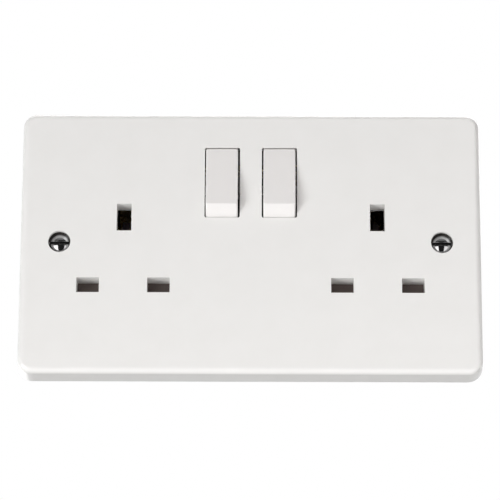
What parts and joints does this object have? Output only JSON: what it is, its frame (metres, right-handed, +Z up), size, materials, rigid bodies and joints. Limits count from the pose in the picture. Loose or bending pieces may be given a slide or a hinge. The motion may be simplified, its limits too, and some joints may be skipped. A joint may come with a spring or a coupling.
{
  "type": "twin switched socket outlet",
  "caption": "Flush wall plate with two switched outlets for flat pin plugs, rocker switches above, shuttered apertures and screw terminals behind.",
  "frame": {"origin": "midway between the two fixing screws, on the plane of the wall", "axes": "+X to the right seen from the front, +Y into the wall, +Z up"},
  "size_m": [0.146, 0.0318, 0.086],
  "materials": {
    "plate_moulding": "white urea moulding, soft gloss",
    "base_moulding": "dark moulding, fine matt",
    "rocker_moulding": "white, soft gloss",
    "shutter_moulding": "grey moulding, satin",
    "plunger_moulding": "plain, slippery",
    "contact_brass": "rolled strip",
    "terminal_brass": "sawn and drilled bar",
    "screw_chrome": "bright plated",
    "screw_steel": "zinc plated",
    "spring_steel": "drawn wire"
  },
  "bodies": {
    "base": {"front_plate": "plate_moulding", "rear_housing": "base_moulding", "shutter_spring_left": "spring_steel", "line_contact_left": "contact_brass", "earth_left_terminal": "terminal_brass", "earth_left_clamp_screw": "screw_steel", "fixing_screw_left": "screw_chrome", "shutter_spring_right": "spring_steel", "line_contact_right": "contact_brass", "earth_right_terminal": "terminal_brass", "earth_right_clamp_screw": "screw_steel", "fixing_screw_right": "screw_chrome", "line_bar": "contact_brass", "neutral_bar": "contact_brass", "earth_bar": "contact_brass", "line_terminal": "terminal_brass", "line_clamp_screw": "screw_steel", "neutral_terminal": "terminal_brass", "neutral_clamp_screw": "screw_steel", "assembly_screws": "screw_steel"},
    "rocker_left": {"rocker_left": "rocker_moulding", "plunger_left": "plunger_moulding", "plunger_spring_left": "spring_steel"},
    "rocking_contact_left": {"rocking_contact_left": "contact_brass"},
    "shutter_left": {"shutter_left": "shutter_moulding"},
    "rocker_right": {"rocker_right": "rocker_moulding", "plunger_right": "plunger_moulding", "plunger_spring_right": "spring_steel"},
    "rocking_contact_right": {"rocking_contact_right": "contact_brass"},
    "shutter_right": {"shutter_right": "shutter_moulding"}
  },
  "joints": [
    {"name": "rocker_left_tilt", "type": "hinge", "parent": "base", "child": "rocker_left", "pos_m": [-0.00917, -0.00143, 0.01958], "axis": [1, 0, 0], "range_deg": [0, 19]},
    {"name": "rocking_contact_left_tilt", "type": "hinge", "parent": "base", "child": "rocking_contact_left", "pos_m": [-0.00905, 0.00787, 0.01958], "axis": [1, 0, 0], "range_deg": [-20, 0]},
    {"name": "shutter_left_slide", "type": "slide", "parent": "base", "child": "shutter_left", "axis": [0, 0, -1], "range_m": [0, 0.007], "stiffness_N_per_m": 100, "springref_m": -0.01, "deforming": ["shutter_spring_left"]},
    {"name": "rocker_right_tilt", "type": "hinge", "parent": "base", "child": "rocker_right", "pos_m": [0.00905, -0.00143, 0.01958], "axis": [1, 0, 0], "range_deg": [0, 19]},
    {"name": "rocking_contact_right_tilt", "type": "hinge", "parent": "base", "child": "rocking_contact_right", "pos_m": [0.00905, 0.00787, 0.01958], "axis": [1, 0, 0], "range_deg": [-20, 0]},
    {"name": "shutter_right_slide", "type": "slide", "parent": "base", "child": "shutter_right", "axis": [0, 0, -1], "range_m": [0, 0.007], "stiffness_N_per_m": 100, "springref_m": -0.01, "deforming": ["shutter_spring_right"]}
  ],
  "couplings": [
    {"joint": "rocking_contact_left_tilt", "follows": "rocker_left_tilt", "ratio": -1.0526},
    {"joint": "rocking_contact_right_tilt", "follows": "rocker_right_tilt", "ratio": -1.0526}
  ]
}
